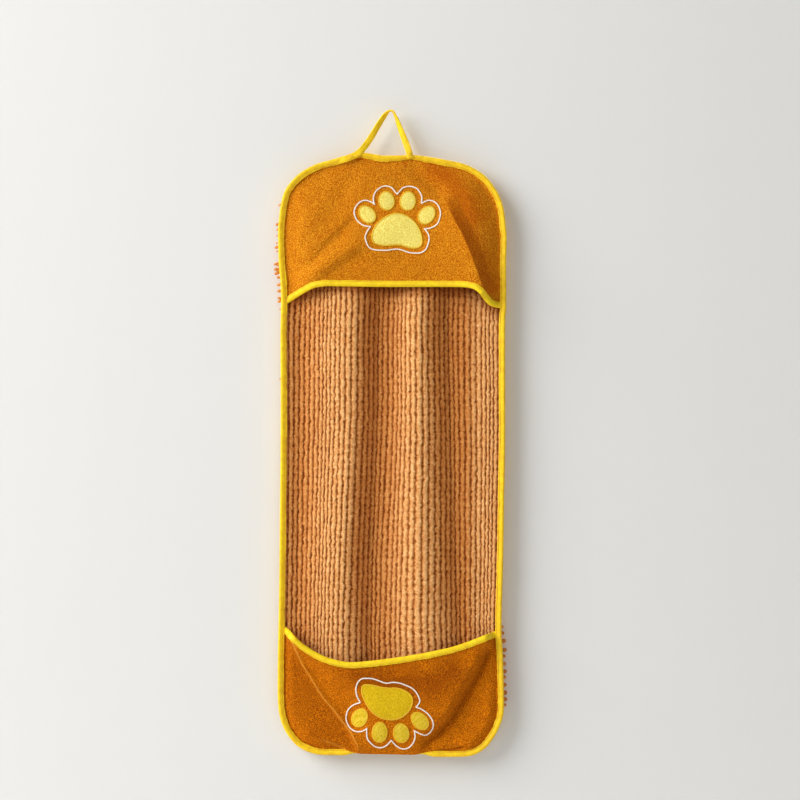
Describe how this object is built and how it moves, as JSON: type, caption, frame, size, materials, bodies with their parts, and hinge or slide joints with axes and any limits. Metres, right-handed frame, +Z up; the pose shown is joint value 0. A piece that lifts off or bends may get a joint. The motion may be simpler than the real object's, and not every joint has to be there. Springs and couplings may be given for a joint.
{
  "type": "pet drying towel",
  "caption": "Long two-ply pet drying towel with a bound fleece hand pocket at each end, embroidered paws, chenille back and a hanging loop; it swings on its loop and folds in half.",
  "frame": {"origin": "where the hanging loop rests on its hook, on the inner side of the tape at the loop's top", "axes": "+Z up along the hung towel, -Y towards the viewer out of the pockets' side, +Y towards the wall behind the chenille back, +X to the viewer's right"},
  "size_m": [0.3439, 0.0415, 0.9704],
  "materials": {
    "tape": "matte",
    "corn_grid": "matte",
    "chenille": "matte",
    "fleece": "matte",
    "applique": "matte",
    "embroidery": "satin",
    "thread": "satin"
  },
  "bodies": {
    "loop": {"hanging_loop": "tape", "loop_tack_left": "thread", "loop_tack_right": "thread"},
    "upper": {"edge_binding_upper": "tape", "corn_grid_panel_upper": "corn_grid", "chenille_backing_upper": "chenille", "top_pocket": "fleece", "top_pocket_mouth_binding": "tape", "top_paw_pad": "applique", "top_paw_toe_1": "applique", "top_paw_toe_2": "applique", "top_paw_toe_3": "applique", "top_paw_toe_4": "applique", "top_paw_outline": "embroidery"},
    "lower": {"edge_binding_lower": "tape", "corn_grid_panel_lower": "corn_grid", "chenille_backing_lower": "chenille", "bottom_pocket": "fleece", "bottom_pocket_mouth_binding": "tape", "bottom_paw_pad": "applique", "bottom_paw_toe_1": "applique", "bottom_paw_toe_2": "applique", "bottom_paw_toe_3": "applique", "bottom_paw_toe_4": "applique", "bottom_paw_outline": "embroidery"}
  },
  "joints": [
    {"name": "towel_swing", "type": "hinge", "parent": "loop", "child": "upper", "pos_m": [0, 0, -0.07], "axis": [-1, 0, 0], "range_deg": [0, 90]},
    {"name": "mid_fold", "type": "hinge", "parent": "upper", "child": "lower", "pos_m": [0, -0.018, -0.529], "axis": [-1, 0, 0], "range_deg": [0, 165]}
  ]
}
